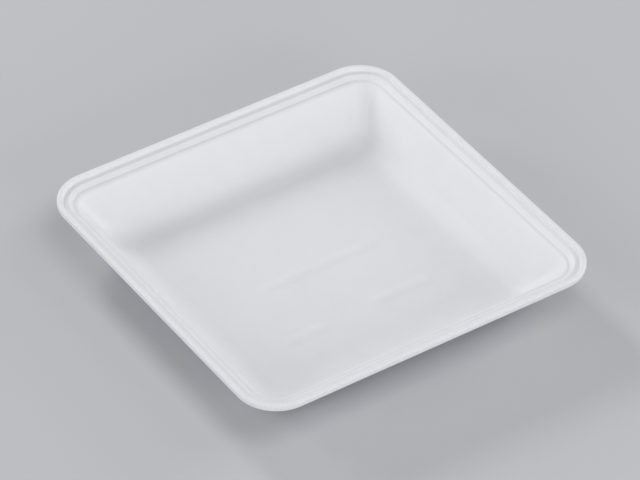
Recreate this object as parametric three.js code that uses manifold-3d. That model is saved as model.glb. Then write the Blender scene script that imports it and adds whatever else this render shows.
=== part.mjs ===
// Square foam meat tray, pressed from one sheet of expanded polystyrene.
// Millimetres, +Z up, origin at the centre of the standing plane, sides along X and Y.
//
// The tray is one skin of even thickness. Its section is drawn once, as two rounded lines
// of "inset" (distance inwards from the outer edge) and height: the upper skin, seen from
// above, and the under skin. Each point of the section is carried round the tray as a
// rounded square ring, and neighbouring rings are joined into one closed surface.
import * as THREE from "three";
import * as BufferGeometryUtils from "three/addons/utils/BufferGeometryUtils.js";
import Module from "manifold-3d";

// Overall
const SIDE = 180; // outer side of the rim
const HEIGHT = 26.5; // standing plane to rim top
const SHEET = 3; // thickness of the foam skin
const CORNER_RADIUS = 19.5; // rim corner, in plan
const FLOOR_CORNER_RADIUS = 7; // smallest corner radius, in plan, at the floor
const CORNER_EASE = 1.5; // how softly one corner radius passes into the other

// Rim, from the cut edge inwards
const FLANGE_WIDTH = 2.2; // cut edge to the upper riser
const UPPER_RISER = 2; // drop from the rim top to the upper tread
const UPPER_RISER_ANGLE = 78; // degrees from level
const UPPER_TREAD = 2.4; // width
const LOWER_RISER = 1.7; // drop from the upper tread to the lower one
const LOWER_RISER_ANGLE = 39;
const LOWER_TREAD = 1.9;
const EDGE_ROUND = 1; // cut edge, top and bottom
const STEP_ROUND = 0.5; // treads and risers
const LIP_ROUND = 2.4; // lower tread to wall
const NECK_DEPTH = 7; // rim top to where the neck under the steps meets the outer wall
const NECK_ROUND = 8; // rounding there

// Wall, foot and floor
const WALL_ANGLE = 55; // degrees from level
const FOOT_RADIUS = 13.2; // inside radius between wall and floor
const STAND_WIDTH = 4; // level ring that the tray stands on
const RAISE_WIDTH = 9; // sloped band inside that ring
const RAISE = 0.5; // lift of the floor's middle panel
const RAISE_ROUND = 24; // rounding at both ends of the sloped band

// Low ridges pressed into the floor: middle of each in X and Y, and its length along X
const LONG_RIDGE = { x: 0, y: 0.7, length: 64 };
const SHORT_RIDGE = { x: -29.7, y: -34.7, length: 23 };
const MEDIUM_RIDGE = { x: 22.6, y: -32.6, length: 35 };
const RIDGES = [LONG_RIDGE, SHORT_RIDGE, MEDIUM_RIDGE];
const RIDGE_WIDTH = 9;
const RIDGE_RISE = 0.5; // height over the floor panel
const RIDGE_ROOT = 1; // depth of the ridge's own body below the floor panel

// Fineness of the facets
const CORNER_STEPS = 10; // facets round each corner, in plan
const ROUND_ERROR = 0.03; // most that a facet departs from a rounding of the section
const RIDGE_CAP_STEPS = 5;
const RIDGE_ROUND_STEPS = 24;

const radians = THREE.MathUtils.degToRad;

// A line through corner points, each rounded to its own radius. Every sample has its
// inset, its height and its slope, the angle from level of the skin there.
function roundedLine(corners) {
  const samples = [];
  const add = (at, heading) => samples.push({ inset: at.x, height: at.y, slope: Math.abs(heading) });
  corners.forEach(({ at, round }, i) => {
    const before = corners[i - 1];
    const after = corners[i + 1];
    if (!before || !after) {
      const along = before ? at.clone().sub(before.at) : after.at.clone().sub(at);
      add(at, Math.atan2(along.y, along.x));
      return;
    }
    const arriving = at.clone().sub(before.at).normalize();
    const leaving = after.at.clone().sub(at).normalize();
    const headingIn = Math.atan2(arriving.y, arriving.x);
    const turn = Math.atan2(arriving.cross(leaving), arriving.dot(leaving));
    const reach = round * Math.tan(Math.abs(turn) / 2);
    const start = at.clone().addScaledVector(arriving, -reach);
    const side = Math.sign(turn);
    const centre = new THREE.Vector2(-arriving.y, arriving.x).multiplyScalar(side * round).add(start);
    const firstAngle = Math.atan2(start.y - centre.y, start.x - centre.x);
    const arc = new THREE.ArcCurve(centre.x, centre.y, round, firstAngle, firstAngle + turn, turn < 0);
    const facetTurn = 2 * Math.acos(1 - ROUND_ERROR / round);
    const steps = Math.ceil(Math.abs(turn) / facetTurn);
    arc.getPoints(steps).forEach((p, k) => add(p, headingIn + (turn * k) / steps));
  });
  return samples;
}

const corner = (inset, height, round = 0) => ({ at: new THREE.Vector2(inset, height), round });

// Levels and insets that both skins share
const upperRiserRun = UPPER_RISER / Math.tan(radians(UPPER_RISER_ANGLE));
const lowerRiserRun = LOWER_RISER / Math.tan(radians(LOWER_RISER_ANGLE));
const wallRun = 1 / Math.tan(radians(WALL_ANGLE)); // for each mm of drop
const upperTreadHeight = HEIGHT - UPPER_RISER;
const lowerTreadHeight = upperTreadHeight - LOWER_RISER;
const upperTreadInset = FLANGE_WIDTH + upperRiserRun;
const lowerTreadInset = upperTreadInset + UPPER_TREAD + lowerRiserRun;
const wallTopInset = lowerTreadInset + LOWER_TREAD;
const wallFootInset = wallTopInset + (lowerTreadHeight - SHEET) * wallRun;
const footReach = FOOT_RADIUS * Math.tan(radians(WALL_ANGLE) / 2);
const floorInset = wallFootInset + footReach;
const raiseInset = floorInset + STAND_WIDTH;
const panelInset = raiseInset + RAISE_WIDTH;
const panelEndInset = SIDE / 3; // last ring; a fan closes the level middle inside it

// Upper skin, from the cut edge to the floor's middle panel
function upperSkin() {
  return roundedLine([
    corner(0, HEIGHT - SHEET / 2),
    corner(0, HEIGHT, EDGE_ROUND),
    corner(FLANGE_WIDTH, HEIGHT, STEP_ROUND),
    corner(upperTreadInset, upperTreadHeight, STEP_ROUND),
    corner(upperTreadInset + UPPER_TREAD, upperTreadHeight, STEP_ROUND),
    corner(lowerTreadInset, lowerTreadHeight, STEP_ROUND),
    corner(wallTopInset, lowerTreadHeight, LIP_ROUND),
    corner(wallFootInset, SHEET, FOOT_RADIUS),
    corner(raiseInset, SHEET, RAISE_ROUND),
    corner(panelInset, SHEET + RAISE, RAISE_ROUND),
    corner(panelEndInset, SHEET + RAISE),
  ]);
}

// Under skin, from the cut edge to the same panel. It is one sheet away from the upper skin,
// but passes both steps in one slanting neck.
function underSkin() {
  const outerWallTopInset = wallTopInset - SHEET / Math.sin(radians(WALL_ANGLE));
  const neckHeight = HEIGHT - NECK_DEPTH;
  const neckInset = outerWallTopInset + (lowerTreadHeight - neckHeight) * wallRun;
  const outerFootInset = outerWallTopInset + lowerTreadHeight * wallRun;
  return roundedLine([
    corner(0, HEIGHT - SHEET / 2),
    corner(0, HEIGHT - SHEET, EDGE_ROUND),
    corner(neckInset, neckHeight, NECK_ROUND),
    corner(outerFootInset, 0, FOOT_RADIUS + SHEET),
    corner(raiseInset, 0, RAISE_ROUND),
    corner(panelInset, RAISE, RAISE_ROUND),
    corner(panelEndInset, RAISE),
  ]);
}

// Corner radius in plan at an inset. Rings run parallel to the rim until the radius nears
// the floor's own, and then keep that.
function cornerRadius(inset) {
  const spare = CORNER_RADIUS - FLOOR_CORNER_RADIUS - inset;
  return FLOOR_CORNER_RADIUS + (spare + Math.hypot(spare, 2 * CORNER_EASE)) / 2;
}

// One section point carried round the tray, counter-clockwise from above. The under skin
// keeps the sheet's thickness in the corners too, so it takes the radius of the upper skin
// across from it, and adds the level distance between the two.
function ring({ inset, height, slope }, isUnder) {
  const across = isUnder ? SHEET * Math.sin(slope) : 0;
  const radius = cornerRadius(inset + across) + across;
  const middle = SIDE / 2 - inset - radius;
  const points = [];
  for (let quarter = 0; quarter < 4; quarter++) {
    const start = (quarter * Math.PI) / 2;
    const toCorner = start + Math.PI / 4;
    const cx = middle * Math.sign(Math.cos(toCorner));
    const cy = middle * Math.sign(Math.sin(toCorner));
    const arc = new THREE.ArcCurve(cx, cy, radius, start, start + Math.PI / 2, false);
    for (const p of arc.getPoints(CORNER_STEPS)) points.push(new THREE.Vector3(p.x, p.y, height));
  }
  return points;
}

// Rings joined into one closed surface, with a fan over the first and over the last ring
function skinBetween(rings) {
  const around = rings[0].length;
  const index = [];
  for (let r = 0; r + 1 < rings.length; r++) {
    for (let i = 0; i < around; i++) {
      const next = (i + 1) % around;
      const here = r * around;
      const there = here + around;
      index.push(here + i, here + next, there + next, here + i, there + next, there + i);
    }
  }
  const firstMiddle = rings.length * around;
  const lastMiddle = firstMiddle + 1;
  const lastRing = firstMiddle - around;
  for (let i = 0; i < around; i++) {
    const next = (i + 1) % around;
    index.push(firstMiddle, next, i, lastMiddle, lastRing + i, lastRing + next);
  }
  const middles = [rings[0], rings.at(-1)].map((points) => new THREE.Vector3(0, 0, points[0].z));
  const geometry = new THREE.BufferGeometry().setFromPoints([...rings.flat(), ...middles]);
  geometry.setIndex(index);
  return geometry;
}

// A low ridge along X with round ends: a lying capsule, flattened, most of it in the floor
function ridgeGeometry({ x, y, length }) {
  const radius = RIDGE_WIDTH / 2;
  const geometry = new THREE.CapsuleGeometry(
    radius, length - RIDGE_WIDTH, RIDGE_CAP_STEPS, RIDGE_ROUND_STEPS,
  );
  geometry.rotateZ(Math.PI / 2);
  const halfHeight = (RIDGE_RISE + RIDGE_ROOT) / 2;
  geometry.scale(1, 1, halfHeight / radius);
  geometry.translate(x, y, SHEET + RAISE + RIDGE_RISE - halfHeight);
  return geometry;
}

const wasm = await Module();
wasm.setup();

function solidOf(geometry) {
  const bare = geometry.clone();
  bare.deleteAttribute("normal");
  bare.deleteAttribute("uv");
  const merged = BufferGeometryUtils.mergeVertices(bare, 1e-5);
  return new wasm.Manifold(new wasm.Mesh({
    numProp: 3,
    vertProperties: merged.attributes.position.array,
    triVerts: new Uint32Array(merged.index.array),
  }));
}

function geometryOf(solid) {
  const mesh = solid.getMesh();
  const geometry = new THREE.BufferGeometry();
  geometry.setAttribute("position", new THREE.BufferAttribute(mesh.vertProperties, 3));
  geometry.setIndex(new THREE.BufferAttribute(mesh.triVerts, 1));
  geometry.computeVertexNormals();
  return geometry;
}

function makeTray() {
  const fromMiddleOut = underSkin().reverse().map((sample) => ring(sample, true));
  const fromEdgeIn = upperSkin().slice(1).map((sample) => ring(sample, false));
  let solid = solidOf(skinBetween([...fromMiddleOut, ...fromEdgeIn]));
  for (const ridge of RIDGES) solid = solid.add(solidOf(ridgeGeometry(ridge)));
  const foam = new THREE.MeshStandardMaterial({ color: 0xf1f2f4, roughness: 0.62, metalness: 0 });
  const tray = new THREE.Mesh(geometryOf(solid), foam);
  tray.name = "tray";
  return tray;
}

const group = new THREE.Group();
group.add(makeTray());

export default group;
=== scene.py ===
# %% [markdown]
# # A square foam meat tray
# The tray on the butcher's shelf is one sheet of expanded polystyrene, warmed and pressed between two
# moulds, then punched out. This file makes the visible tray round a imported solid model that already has
# the right size. The frame is loaded first, because every length below is either read from it or is the
# same named size that the solid was drawn with.

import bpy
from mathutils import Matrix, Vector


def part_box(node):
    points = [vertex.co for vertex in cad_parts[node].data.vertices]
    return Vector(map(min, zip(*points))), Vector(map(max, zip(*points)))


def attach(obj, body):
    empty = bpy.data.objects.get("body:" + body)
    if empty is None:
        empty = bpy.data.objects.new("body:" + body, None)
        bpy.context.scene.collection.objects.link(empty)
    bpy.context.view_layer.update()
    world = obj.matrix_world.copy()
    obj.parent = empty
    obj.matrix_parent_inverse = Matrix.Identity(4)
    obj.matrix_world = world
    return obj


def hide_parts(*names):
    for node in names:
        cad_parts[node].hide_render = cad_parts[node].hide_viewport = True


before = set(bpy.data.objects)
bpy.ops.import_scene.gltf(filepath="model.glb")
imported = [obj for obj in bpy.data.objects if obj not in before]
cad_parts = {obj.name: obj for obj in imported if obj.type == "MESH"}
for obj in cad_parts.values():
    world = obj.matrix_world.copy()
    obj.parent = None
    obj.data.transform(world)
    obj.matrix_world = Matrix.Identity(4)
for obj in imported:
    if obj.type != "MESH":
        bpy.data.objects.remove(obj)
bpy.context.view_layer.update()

# %% Tools for the job
import math

import bpy
import numpy as np
from mathutils import Matrix, Vector

MM = 0.001
COLUMNS = np.newaxis

# %% [markdown]
# ## The camera
# The picture was taken from above one corner with a long lens, so the tray's opposite sides stay almost
# parallel. A camera far away with a narrow view does the same here. It is set by what a photographer
# would say: where it stands round the tray, how high, how far, and the small tilt of the horizon.

# %% Camera
CAMERA_AZIMUTH = math.radians(-34.87)  # from behind the -Y side, turned towards -X
CAMERA_ELEVATION = math.radians(40.42)
CAMERA_ROLL = math.radians(1.219)
CAMERA_DISTANCE = 2.0639
CAMERA_AIM = Vector((-0.0019, -0.0029, 0.0224))
SENSOR_WIDTH = 36.0
FOCAL_LENGTH = 262.2


def place_camera():
    """Turn the camera about X by its height, about Z by its azimuth, and about its own line of sight
    by its roll, then back it away from the point it looks at."""
    turn = (
        Matrix.Rotation(CAMERA_AZIMUTH, 3, "Z")
        @ Matrix.Rotation(math.pi / 2 - CAMERA_ELEVATION, 3, "X")
        @ Matrix.Rotation(CAMERA_ROLL, 3, "Z")
    )
    data = bpy.data.cameras.new("camera")
    data.sensor_width = SENSOR_WIDTH
    data.lens = FOCAL_LENGTH
    camera = bpy.data.objects.new("camera", data)
    camera.matrix_world = Matrix.LocRotScale(
        CAMERA_AIM + turn @ Vector((0, 0, CAMERA_DISTANCE)), turn.to_quaternion(), None
    )
    bpy.context.scene.collection.objects.link(camera)
    bpy.context.scene.camera = camera
    return camera


camera = place_camera()
print("camera stands at", [round(v, 3) for v in camera.location])

# %% [markdown]
# ## The tray's sizes
# The outer side and the height come from the frame. The rest are the sizes of the press mould: a level
# rim, two small steps that stiffen it, a soft shoulder, a wall that leans out so that trays stack, and a
# wide curve into the floor, which keeps the foam from tearing when it is pressed. The upper step is
# steep and the lower one slopes, which is why they catch the light differently.

# %% Sizes
tray_low, tray_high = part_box("tray")
SIDE = tray_high[0] - tray_low[0]
HEIGHT = tray_high[2]
SHEET = 3.0 * MM
CORNER_RADIUS = 19.5 * MM
FLOOR_CORNER_RADIUS = 7.0 * MM
CORNER_EASE = 1.5 * MM

FLANGE_WIDTH = 2.2 * MM
UPPER_RISER = 2.0 * MM
UPPER_RISER_ANGLE = math.radians(78)
UPPER_TREAD = 2.4 * MM
LOWER_RISER = 1.7 * MM
LOWER_RISER_ANGLE = math.radians(39)
LOWER_TREAD = 1.9 * MM
EDGE_ROUND = 1.0 * MM
STEP_ROUND = 0.5 * MM
LIP_ROUND = 2.4 * MM
NECK_DEPTH = 7.0 * MM
NECK_ROUND = 8.0 * MM

WALL_ANGLE = math.radians(55)
FOOT_RADIUS = 13.2 * MM
STAND_WIDTH = 4.0 * MM
RAISE_WIDTH = 9.0 * MM
RAISE = 0.5 * MM
RAISE_ROUND = 24.0 * MM

upper_riser_run = UPPER_RISER / math.tan(UPPER_RISER_ANGLE)
lower_riser_run = LOWER_RISER / math.tan(LOWER_RISER_ANGLE)
upper_tread_height = HEIGHT - UPPER_RISER
lower_tread_height = upper_tread_height - LOWER_RISER
upper_tread_inset = FLANGE_WIDTH + upper_riser_run
lower_tread_inset = upper_tread_inset + UPPER_TREAD + lower_riser_run
wall_top_inset = lower_tread_inset + LOWER_TREAD
wall_foot_inset = wall_top_inset + (lower_tread_height - SHEET) / math.tan(WALL_ANGLE)
floor_inset = wall_foot_inset + FOOT_RADIUS * math.tan(WALL_ANGLE / 2)
raise_inset = floor_inset + STAND_WIDTH
panel_inset = raise_inset + RAISE_WIDTH
panel_end_inset = panel_inset + 1.5 * MM
print("floor starts %.2f mm in from the cut edge" % (floor_inset / MM))

# %% [markdown]
# ## The section
# Cut the tray across and the foam shows a thin bent strip. Its two faces are drawn here as lines of
# straight stretches and arcs. A bevel modifier on a coarse mesh would also round the steps, but an arc
# worked out from its two tangents keeps each mould radius exact.

# %% A line with rounded corners
FACET_ERROR = 0.002 * MM


def arc_between(before, at, after, round_radius):
    """The arc of that radius which touches both lines that meet at a corner. It starts at
    round * tan(turn / 2) before the corner; its centre lies one radius to the side that the line
    turns to. Rows are inset, height and heading."""
    arriving = (at - before) / np.linalg.norm(at - before)
    leaving = (after - at) / np.linalg.norm(after - at)
    turn = math.atan2(arriving[0] * leaving[1] - arriving[1] * leaving[0], arriving @ leaving)
    side = math.copysign(1.0, turn)
    start = at - arriving * round_radius * math.tan(abs(turn) / 2)
    centre = start + side * round_radius * np.array([-arriving[1], arriving[0]])
    facet_turn = 2 * math.acos(1 - FACET_ERROR / round_radius)
    steps = math.ceil(abs(turn) / facet_turn)
    heading = math.atan2(arriving[1], arriving[0]) + turn * np.linspace(0, 1, steps + 1)
    outward = np.stack([np.sin(heading), -np.cos(heading)], axis=1)
    points = centre + side * round_radius * outward
    return np.column_stack([points, heading])


def rounded_line(corners):
    """Straight stretches through (inset, height, round) corners, each corner turned into its arc.
    The two ends stay sharp. Returns inset, height and slope from level for each sample."""
    at = np.array([corner[:2] for corner in corners])
    first, last = np.arctan2(*(at[1] - at[0])[::-1]), np.arctan2(*(at[-1] - at[-2])[::-1])
    arcs = [
        arc_between(at[i - 1], at[i], at[i + 1], corners[i][2]) for i in range(1, len(corners) - 1)
    ]
    line = np.vstack([[*at[0], first], *arcs, [*at[-1], last]])
    line[:, 2] = np.abs(line[:, 2])
    return line


# %% [markdown]
# Long straight stretches get extra samples, so that no face of the finished mesh is a long sliver.

# %% Even out the samples
LONGEST_FACET = 1.6 * MM


def split_long_stretches(line):
    """Measure the length along the line, add an even ladder of lengths wherever the samples are
    further apart than LONGEST_FACET, and read inset, height and slope off at every length."""
    run = np.concatenate([[0], np.cumsum(np.hypot(*np.diff(line[:, :2], axis=0).T))])
    ladder = np.arange(0, run[-1], LONGEST_FACET)
    nearest = np.abs(ladder[:, COLUMNS] - run[COLUMNS]).min(axis=1)
    every = np.sort(np.concatenate([run, ladder[nearest > LONGEST_FACET / 3]]))
    return np.column_stack([np.interp(every, run, column) for column in line.T])


# %% [markdown]
# The upper face follows the mould step by step. The under face is about one sheet away from it, but it
# passes both steps in one slanting neck, because thick foam can't follow such small steps on both sides.

# %% The two faces of the foam
def upper_face():
    """Cut edge, level rim, two steps, wall, foot and floor, seen from above."""
    return rounded_line([
        (0, HEIGHT - SHEET / 2, 0),
        (0, HEIGHT, EDGE_ROUND),
        (FLANGE_WIDTH, HEIGHT, STEP_ROUND),
        (upper_tread_inset, upper_tread_height, STEP_ROUND),
        (upper_tread_inset + UPPER_TREAD, upper_tread_height, STEP_ROUND),
        (lower_tread_inset, lower_tread_height, STEP_ROUND),
        (wall_top_inset, lower_tread_height, LIP_ROUND),
        (wall_foot_inset, SHEET, FOOT_RADIUS),
        (raise_inset, SHEET, RAISE_ROUND),
        (panel_inset, SHEET + RAISE, RAISE_ROUND),
        (panel_end_inset, SHEET + RAISE, 0),
    ])


def under_face():
    """Cut edge, slanting neck, outer wall, foot, standing ring and raised base."""
    outer_wall_top = wall_top_inset - SHEET / math.sin(WALL_ANGLE)
    run_per_drop = 1 / math.tan(WALL_ANGLE)
    neck_height = HEIGHT - NECK_DEPTH
    neck_inset = outer_wall_top + (lower_tread_height - neck_height) * run_per_drop
    outer_foot_inset = outer_wall_top + lower_tread_height * run_per_drop
    return rounded_line([
        (0, HEIGHT - SHEET / 2, 0),
        (0, HEIGHT - SHEET, EDGE_ROUND),
        (neck_inset, neck_height, NECK_ROUND),
        (outer_foot_inset, 0, FOOT_RADIUS + SHEET),
        (raise_inset, 0, RAISE_ROUND),
        (panel_inset, RAISE, RAISE_ROUND),
        (panel_end_inset, RAISE, 0),
    ])


upper_line = split_long_stretches(upper_face())
under_line = split_long_stretches(under_face())
print("samples across: %d above, %d below" % (len(upper_line), len(under_line)))

# %% [markdown]
# ## Round the tray
# Each sample of the section is carried round the tray as a ring: a square with rounded corners. A ring
# has only two sizes, the distance from the tray's middle to its corner centres and the corner radius, so
# all rings together are one sum of two arrays. Near the rim the corners run parallel to the cut edge;
# further down they keep the small radius of the floor's corners.

# %% Rings
CORNER_STEPS = 18
SIDE_STEPS = 46


def ring_pattern():
    """Two patterns of unit vectors, A and B. A ring's points are middle * A + radius * B: A holds
    the signs of the corner centre, shared out along each straight side, and B the direction from
    that centre."""
    quarter = np.arange(4)[:, COLUMNS] * math.pi / 2
    angle = quarter + np.linspace(0, math.pi / 2, CORNER_STEPS + 1)[COLUMNS]
    arc_to = np.stack([np.cos(angle), np.sin(angle)], axis=2)
    corner_sign = np.sign(np.cos(quarter + math.pi / 4)), np.sign(np.sin(quarter + math.pi / 4))
    centre = np.stack(corner_sign, axis=2)
    share = np.linspace(0, 1, SIDE_STEPS + 1)[1:-1][COLUMNS, :, COLUMNS]
    side_centre = centre * (1 - share) + np.roll(centre, -1, axis=0) * share
    side_to = np.broadcast_to(arc_to[:, -1:], side_centre.shape)
    arc_centre = np.broadcast_to(centre, arc_to.shape)
    pattern_a = np.concatenate([arc_centre, side_centre], axis=1).reshape(-1, 2)
    pattern_b = np.concatenate([arc_to, side_to], axis=1).reshape(-1, 2)
    return pattern_a, pattern_b


def corner_radius(inset):
    """A soft maximum of (rim radius - inset) and the floor's radius:
    floor + (spare + sqrt(spare^2 + 4 ease^2)) / 2, where spare is what is left of the rim radius."""
    spare = CORNER_RADIUS - FLOOR_CORNER_RADIUS - inset
    return FLOOR_CORNER_RADIUS + (spare + np.hypot(spare, 2 * CORNER_EASE)) / 2


def carry_round(line, across):
    """Rings for each sample of a line. across is the level distance from the sample to the upper
    face, which a ring of the under face adds to its radius, so the foam keeps its thickness."""
    inset, height = line[:, 0], line[:, 1]
    radius = corner_radius(inset + across) + across
    middle = SIDE / 2 - inset - radius
    pattern_a, pattern_b = ring_pattern()
    plan = middle[:, COLUMNS, COLUMNS] * pattern_a + radius[:, COLUMNS, COLUMNS] * pattern_b
    level = np.broadcast_to(height[:, COLUMNS, COLUMNS], (*plan.shape[:2], 1))
    return np.concatenate([plan, level], axis=2)


upper_rings = carry_round(upper_line, np.zeros(len(upper_line)))
under_rings = carry_round(under_line, SHEET * np.sin(under_line[:, 2]))
print("a ring has", upper_rings.shape[1], "points")

# %% [markdown]
# ## The floor
# Inside the last ring the floor is level. More rings, each a smaller copy of the last, fill it as far as
# a point in the middle. They are close together because the floor isn't quite flat: three low soft ridges
# stiffen it, and a pressed foam sheet always keeps some slow waves.

# %% Fill the floor
FLOOR_RINGS = 42
BASE_RINGS = 12
SMALLEST_SHARE = 0.02


def shrink_to_middle(ring, rings):
    """Copies of a ring scaled towards the middle, from just inside it to SMALLEST_SHARE of it."""
    share = np.linspace(1, SMALLEST_SHARE, rings + 1)[1:, COLUMNS, COLUMNS]
    plan = ring[COLUMNS, :, :2] * share
    level = np.broadcast_to(ring[COLUMNS, :, 2:], (rings, len(ring), 1))
    return np.concatenate([plan, level], axis=2)


floor_rings = shrink_to_middle(upper_rings[-1], FLOOR_RINGS)
base_rings = shrink_to_middle(under_rings[-1], BASE_RINGS)

# %% Ridges and slow waves
# middle x, middle y and length of each ridge, mm
LONG_RIDGE = (0.0, 0.7, 64.0)
SHORT_RIDGE = (-29.7, -34.7, 23.0)
MEDIUM_RIDGE = (22.6, -32.6, 35.0)
RIDGES = [LONG_RIDGE, SHORT_RIDGE, MEDIUM_RIDGE]
RIDGE_WIDTH = 9.0 * MM
RIDGE_RISE = 0.5 * MM
WAVE_RISE = 0.05 * MM
# length in mm, direction and phase in radians of each wave
WAVES = [(61.0, 0.4, 0.3), (47.0, 2.1, 1.9), (38.0, 1.2, 4.4), (83.0, 2.8, 5.2)]


def ridge_height(x, y):
    """Each ridge is rise * cos^2 of the distance from its spine, which reaches zero at half the
    ridge's width. The spine is a stretch along X."""
    height = np.zeros_like(x)
    for middle_x, middle_y, length in RIDGES:
        half_spine = (length * MM - RIDGE_WIDTH) / 2
        beyond = np.maximum(np.abs(x - middle_x * MM) - half_spine, 0)
        away = np.hypot(beyond, y - middle_y * MM) / (RIDGE_WIDTH / 2)
        height += RIDGE_RISE * np.cos(np.minimum(away, 1) * math.pi / 2) ** 2
    return height


def wave_height(x, y):
    """The mean of a few cosine waves that run in different directions."""
    total = np.zeros_like(x)
    for length, direction, phase in WAVES:
        along = x * math.cos(direction) + y * math.sin(direction)
        total += np.cos(2 * math.pi * along / (length * MM) + phase)
    return WAVE_RISE * total / len(WAVES)


def on_the_panel(x, y):
    """1 on the raised panel, falling to 0 over the band round it, so that the standing ring stays level.
    The fall is the soft step share^2 * (3 - 2 * share)."""
    reach = np.maximum(np.abs(x), np.abs(y))
    panel_half = SIDE / 2 - panel_inset
    share = np.clip((panel_half + RAISE_WIDTH - reach) / RAISE_WIDTH, 0, 1)
    return share**2 * (3 - 2 * share)


def relieve(rings, with_ridges):
    """Add the floor's relief to the heights of some rings. The waves bend both faces alike, and the
    ridges only the upper one. Nothing sinks below the plane that the tray stands on."""
    x, y = rings[..., 0], rings[..., 1]
    rings[..., 2] += wave_height(x, y) * on_the_panel(x, y)
    if with_ridges:
        rings[..., 2] += ridge_height(x, y)
    np.maximum(rings[..., 2], 0, out=rings[..., 2])


relieve(upper_rings, True)
relieve(floor_rings, True)
relieve(under_rings, False)
relieve(base_rings, False)
print("relief on the floor is up to %.2f mm" % ((RIDGE_RISE + WAVE_RISE) / MM))

# %% [markdown]
# ## One closed mesh
# All rings are stacked in one order: from the middle of the base outwards, over the cut edge, and back
# down to the middle of the floor. Neighbouring rings are joined by four-sided faces, and a fan of
# triangles closes each middle. In this order every face looks outwards.

# %% Stack the rings
stack = np.concatenate([base_rings[::-1], under_rings[::-1], upper_rings[1:], floor_rings])
ring_count, around = stack.shape[:2]


def grid_faces(rings, points):
    """Faces between neighbouring rings; the last point of a ring joins the first."""
    here = np.arange(rings - 1)[:, COLUMNS] * points + np.arange(points)
    beside = np.roll(here, -1, axis=1)
    return np.stack([here, beside, beside + points, here + points], axis=2).reshape(-1, 4)


def fan_faces(middle, first, points, forwards):
    """Triangles from one middle point to the ring that starts at vertex first."""
    rim = first + np.arange(points)
    beside = np.roll(rim, -1)
    pair = [rim, beside] if forwards else [beside, rim]
    return np.stack([np.full(points, middle), *pair], axis=1)


# %% Build the tray
CUT_REACH = 0.8 * MM  # the punch leaves open cells on the edge and on most of its rounding


def middle_of(ring):
    return np.array([[0, 0, ring[:, 2].mean()]])


def build_tray():
    """Put vertices and faces into one mesh. The faces nearest the outside are the cut."""
    points = np.concatenate([stack.reshape(-1, 3), middle_of(stack[0]), middle_of(stack[-1])])
    quads = grid_faces(ring_count, around)
    base_fan = fan_faces(len(points) - 2, 0, around, False)
    floor_fan = fan_faces(len(points) - 1, (ring_count - 1) * around, around, True)
    mesh = bpy.data.meshes.new("foam_tray")
    mesh.from_pydata(points.tolist(), [], quads.tolist() + base_fan.tolist() + floor_fan.tolist())
    mesh.polygons.foreach_set("use_smooth", np.ones(len(mesh.polygons), bool))
    edge_inset = SIDE / 2 - np.abs(stack).max(axis=2).max(axis=1)
    on_cut = (edge_inset[:-1] < CUT_REACH) & (edge_inset[1:] < CUT_REACH)
    cut_faces = np.zeros(len(mesh.polygons), np.int32)
    cut_faces[: len(quads)] = np.repeat(on_cut, around)
    mesh.polygons.foreach_set("material_index", cut_faces)
    mesh.update()
    tray = bpy.data.objects.new("foam_tray", mesh)
    bpy.context.scene.collection.objects.link(tray)
    return tray


tray = build_tray()
print("tray mesh has", len(tray.data.polygons), "faces")

# %% [markdown]
# ## The foam
# Pressed polystyrene foam has a smooth satin skin over closed cells less than half a millimetre wide. Close
# up the skin is finely dimpled and faintly mottled; where the punch cut it, the open cells show as tiny
# pits, painted darker in their hollows as shade. Both finishes use the same cells, so those are a node
# group, and each material sets its own size.

# %% Helpers for nodes
def add_node(tree, kind, inputs=None, **settings):
    """A new node with its settings and the values or links of its inputs."""
    node = tree.nodes.new(kind)
    for name, value in settings.items():
        setattr(node, name, value)
    for name, value in (inputs or {}).items():
        if isinstance(value, bpy.types.NodeSocket):
            tree.links.new(value, node.inputs[name])
        else:
            node.inputs[name].default_value = value
    return node


def arithmetic(tree, operation, first, second):
    return add_node(tree, "ShaderNodeMath", {0: first, 1: second}, operation=operation).outputs[0]


# %% The cells, as a node group
def foam_cells_group():
    """Cells of a given size in the tray's own coordinates. Dome is high in the middle of a cell and
    low where cells meet. Shade is one even random value for each cell."""
    tree = bpy.data.node_groups.new("foam cells", "ShaderNodeTree")
    tree.interface.new_socket("Cell Size", in_out="INPUT", socket_type="NodeSocketFloat")
    tree.interface.new_socket("Dome", in_out="OUTPUT", socket_type="NodeSocketFloat")
    tree.interface.new_socket("Shade", in_out="OUTPUT", socket_type="NodeSocketFloat")
    entry = add_node(tree, "NodeGroupInput")
    place = add_node(tree, "ShaderNodeTexCoord").outputs["Object"]
    per_metre = arithmetic(tree, "DIVIDE", 1.0, entry.outputs["Cell Size"])
    cells = add_node(
        tree, "ShaderNodeTexVoronoi", {"Vector": place, "Scale": per_metre, "Randomness": 0.9}, feature="F1"
    )
    hollow = arithmetic(tree, "POWER", cells.outputs["Distance"], 2.0)
    dome = arithmetic(tree, "SUBTRACT", 1.0, hollow)
    split = add_node(tree, "ShaderNodeSeparateColor", {"Color": cells.outputs["Color"]})
    add_node(tree, "NodeGroupOutput", {"Dome": dome, "Shade": split.outputs["Red"]})
    return tree


foam_cells = foam_cells_group()
print("group:", foam_cells.name)

# %% [markdown]
# The skin is almost even: a slow cloudiness where the foam is a little denser, a hint of each cell, and
# a gloss that varies with the cloudiness. Light also enters the foam and leaves it a millimetre or two
# away, which softens every shadow on it, so both materials scatter light below their surface.

# %% What both finishes share
REFRACTION = 1.46
SCATTER_SHARE = 0.25  # of the light enters the foam
SCATTER_REACH = 1.2 * MM


def start_material(name):
    material = bpy.data.materials.new(name)
    material.use_nodes = True
    shader = material.node_tree.nodes["Principled BSDF"]
    shader.inputs["IOR"].default_value = REFRACTION
    shader.inputs["Subsurface Weight"].default_value = SCATTER_SHARE
    shader.inputs["Subsurface Radius"].default_value = (1, 1, 1)
    shader.inputs["Subsurface Scale"].default_value = SCATTER_REACH
    return material, material.node_tree, shader


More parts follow.
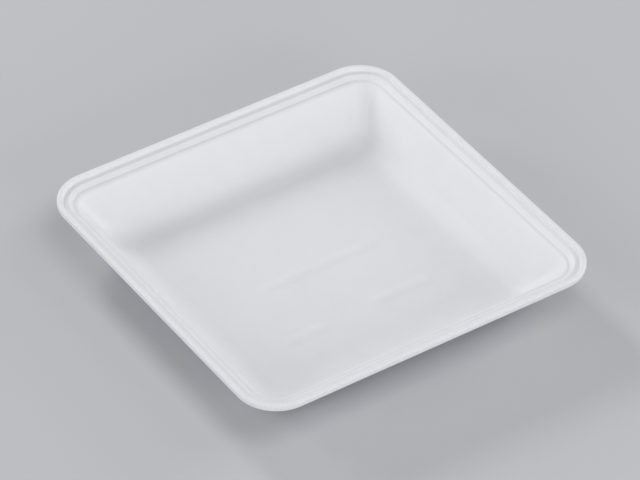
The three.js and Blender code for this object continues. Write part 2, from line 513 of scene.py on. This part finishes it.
# %% The pressed skin
SKIN_LIGHT = (0.786, 0.799, 0.826, 1)
SKIN_DARK = (0.746, 0.759, 0.786, 1)
SKIN_CELL = 0.42 * MM
CELL_SHARE = 0.35  # of the mottle comes from single cells, the rest from the clouds
CLOUDS_PER_METRE = 95.0
GLOSSIEST, DULLEST = 0.42, 0.54  # roughness
DIMPLE_DEPTH = 0.05 * MM
DIMPLE_STRENGTH = 0.22


def pressed_skin():
    """Cloud and cell shade move the colour between two near whites; the domes give the dimples."""
    material, tree, shader = start_material("pressed foam skin")
    cells = add_node(tree, "ShaderNodeGroup", node_tree=foam_cells)
    cells.inputs["Cell Size"].default_value = SKIN_CELL
    place = add_node(tree, "ShaderNodeTexCoord").outputs["Object"]
    cloud = add_node(
        tree, "ShaderNodeTexNoise",
        {"Vector": place, "Scale": CLOUDS_PER_METRE, "Detail": 3.0, "Roughness": 0.55},
    ).outputs["Fac"]
    mottle = arithmetic(tree, "MULTIPLY", cells.outputs["Shade"], CELL_SHARE)
    blend = arithmetic(tree, "ADD", arithmetic(tree, "MULTIPLY", cloud, 1 - CELL_SHARE), mottle)
    colour = add_node(
        tree, "ShaderNodeMix", {"Factor": blend, "A": SKIN_DARK, "B": SKIN_LIGHT}, data_type="RGBA"
    )
    tree.links.new(colour.outputs[2], shader.inputs["Base Color"])
    gloss = add_node(
        tree, "ShaderNodeMapRange",
        {"Value": cloud, "From Min": 0.3, "From Max": 0.7, "To Min": GLOSSIEST, "To Max": DULLEST},
    )
    tree.links.new(gloss.outputs["Result"], shader.inputs["Roughness"])
    dimples = add_node(
        tree, "ShaderNodeBump",
        {"Strength": DIMPLE_STRENGTH, "Distance": DIMPLE_DEPTH, "Height": cells.outputs["Dome"]},
    )
    tree.links.new(dimples.outputs["Normal"], shader.inputs["Normal"])
    return material


skin = pressed_skin()

# %% The cut edge
CUT_LIGHT = (0.77, 0.785, 0.812, 1)
# painted shade: the darker colour at the middle of each open cell's pit, partly random from cell to cell
CUT_PIT_SHADE = (0.685, 0.70, 0.73, 1)
CUT_CELL = 0.45 * MM
CUT_ROUGHNESS = 0.85
PIT_DEPTH = 0.08 * MM
PIT_STRENGTH = 0.35


def cut_foam():
    """Open cells: the dome is turned upside down, so each cell is a pit with a bright rim. Its colour
    darkens towards the pit's middle, by a random amount for each cell: painted shade in the pits.
    """
    material, tree, shader = start_material("cut foam")
    cells = add_node(tree, "ShaderNodeGroup", node_tree=foam_cells)
    cells.inputs["Cell Size"].default_value = CUT_CELL
    # each pit's depth times a random value per cell; it sinks the pit and paints shade into it
    pit_depth_and_shade = arithmetic(tree, "MULTIPLY", cells.outputs["Dome"], cells.outputs["Shade"])
    colour = add_node(
        tree, "ShaderNodeMix", {"Factor": pit_depth_and_shade, "A": CUT_LIGHT, "B": CUT_PIT_SHADE}, data_type="RGBA"
    )
    tree.links.new(colour.outputs[2], shader.inputs["Base Color"])
    shader.inputs["Roughness"].default_value = CUT_ROUGHNESS
    floor_of_pit = arithmetic(tree, "SUBTRACT", 1.0, pit_depth_and_shade)
    pits = add_node(
        tree, "ShaderNodeBump",
        {"Strength": PIT_STRENGTH, "Distance": PIT_DEPTH, "Height": floor_of_pit},
    )
    tree.links.new(pits.outputs["Normal"], shader.inputs["Normal"])
    return material


cut = cut_foam()
tray.data.materials.append(skin)
tray.data.materials.append(cut)
print("finishes:", [material.name for material in tray.data.materials])

# %% [markdown]
# ## Floor and light
# One wide pale sheet makes the table. Low softboxes stand in front and on both sides, a higher one lights
# the tray from the front, and two smaller lamps behind it on the left rake over the far wall, so that its
# foot lies in shade. A broad even light opens the shadows.

# %% Table
TABLE_COLOUR = (0.52, 0.53, 0.55, 1)
TABLE_HALF = 8.0
TABLE_GAP = 0.1 * MM


def lay_table():
    half = TABLE_HALF
    mesh = bpy.data.meshes.new("table")
    corners = [(-half, -half), (half, -half), (half, half), (-half, half)]
    mesh.from_pydata([(x, y, -TABLE_GAP) for x, y in corners], [], [(0, 1, 2, 3)])
    material = bpy.data.materials.new("table sheet")
    material.use_nodes = True
    shader = material.node_tree.nodes["Principled BSDF"]
    shader.inputs["Base Color"].default_value = TABLE_COLOUR
    shader.inputs["Roughness"].default_value = 0.7
    mesh.materials.append(material)
    table = bpy.data.objects.new("table", mesh)
    bpy.context.scene.collection.objects.link(table)


lay_table()

# %% Lamps
# azimuth and elevation in degrees, distance and width in metres, power in watts
LAMPS = [
    ("front softbox", 0.0, 15.0, 2.0, 1.0, 14.0),
    ("left softbox", -90.0, 15.0, 2.0, 1.0, 12.3),
    ("right softbox", 90.0, 15.0, 2.0, 1.0, 10.3),
    ("high right softbox", 60.0, 40.0, 2.0, 1.0, 4.4),
    ("high front softbox", 0.0, 65.0, 2.0, 1.0, 8.3),
    ("back lamp", -180.0, 30.0, 2.0, 0.4, 11.2),
    ("low back left lamp", -150.0, 20.0, 2.0, 0.4, 6.7),
]
WORLD_LIGHT = 0.299


def hang_lamp(name, azimuth, elevation, distance, width, power):
    """A square area lamp that faces the tray. Azimuth 0 is the -Y side and 90 the +X side."""
    a, e = math.radians(azimuth), math.radians(elevation)
    towards = Vector((math.sin(a) * math.cos(e), -math.cos(a) * math.cos(e), math.sin(e)))
    data = bpy.data.lights.new(name, "AREA")
    data.size = width
    data.energy = power
    lamp = bpy.data.objects.new(name, data)
    lamp.location = towards * distance
    lamp.rotation_mode = "QUATERNION"
    lamp.rotation_quaternion = towards.to_track_quat("Z", "Y")
    bpy.context.scene.collection.objects.link(lamp)


for lamp in LAMPS:
    hang_lamp(*lamp)

world = bpy.data.worlds.new("studio")
world.use_nodes = True
world.node_tree.nodes["Background"].inputs["Color"].default_value = (1, 1, 1, 1)
world.node_tree.nodes["Background"].inputs["Strength"].default_value = WORLD_LIGHT
bpy.context.scene.world = world
bpy.context.scene.view_settings.view_transform = "Standard"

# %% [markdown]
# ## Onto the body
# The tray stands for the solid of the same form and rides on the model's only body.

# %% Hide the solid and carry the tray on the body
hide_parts("tray")
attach(tray, "root")
bpy.context.view_layer.update()
